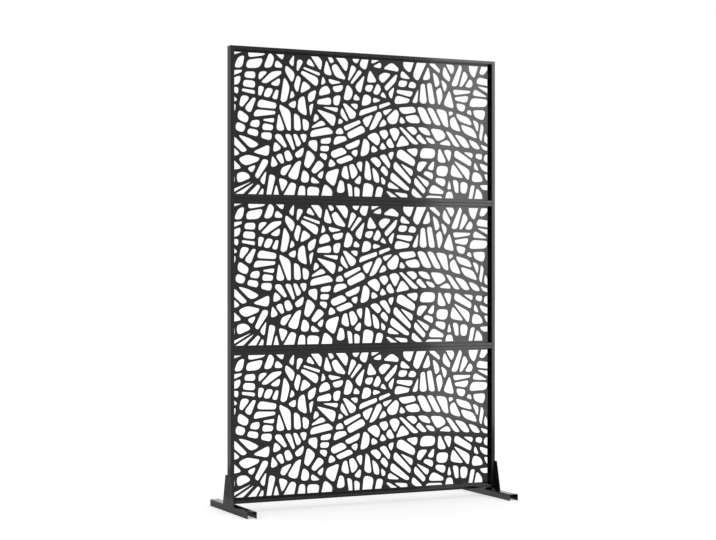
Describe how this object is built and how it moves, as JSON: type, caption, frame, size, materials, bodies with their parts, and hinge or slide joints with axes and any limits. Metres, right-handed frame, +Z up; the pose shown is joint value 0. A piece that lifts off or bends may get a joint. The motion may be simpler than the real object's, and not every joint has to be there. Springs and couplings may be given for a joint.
{
  "type": "free-standing privacy screen",
  "caption": "Tall free-standing metal privacy screen: framed laser cut sheets with an organic leaf-vein pattern, stacked on two channel feet.",
  "frame": {"origin": "on the floor, under the middle of the screen", "axes": "+Z up, +X to the right seen from the front, the front faces -Y"},
  "size_m": [1.2, 0.4, 1.83],
  "materials": {
    "frame_coat": "satin black powder coat on steel tube",
    "sheet_coat": "satin black powder coat on laser cut steel sheet",
    "foot_coat": "satin black powder coat on folded steel",
    "black_screws": "black oxide, slightly glossy",
    "zinc_steel": "bright zinc plate",
    "black_plastic": "fine-grained moulded nylon"
  },
  "bodies": {
    "root": {"left_post": "frame_coat", "right_post": "frame_coat", "left_post_cap": "black_plastic", "right_post_cap": "black_plastic", "top_section_top_rail": "frame_coat", "top_section_bottom_rail": "frame_coat", "middle_section_top_rail": "frame_coat", "middle_section_bottom_rail": "frame_coat", "bottom_section_top_rail": "frame_coat", "bottom_section_bottom_rail": "frame_coat", "left_rail_spigots": "black_plastic", "right_rail_spigots": "black_plastic", "top_panel": "sheet_coat", "middle_panel": "sheet_coat", "bottom_panel": "sheet_coat", "top_panel_screws": "black_screws", "middle_panel_screws": "black_screws", "bottom_panel_screws": "black_screws", "left_foot": "foot_coat", "right_foot": "foot_coat", "left_gusset": "foot_coat", "right_gusset": "foot_coat", "left_gusset_screws": "black_screws", "right_gusset_screws": "black_screws", "left_weld_nut": "zinc_steel", "right_weld_nut": "zinc_steel", "left_post_plug": "zinc_steel", "right_post_plug": "zinc_steel", "left_foot_bolt": "zinc_steel", "right_foot_bolt": "zinc_steel"}
  },
  "joints": []
}
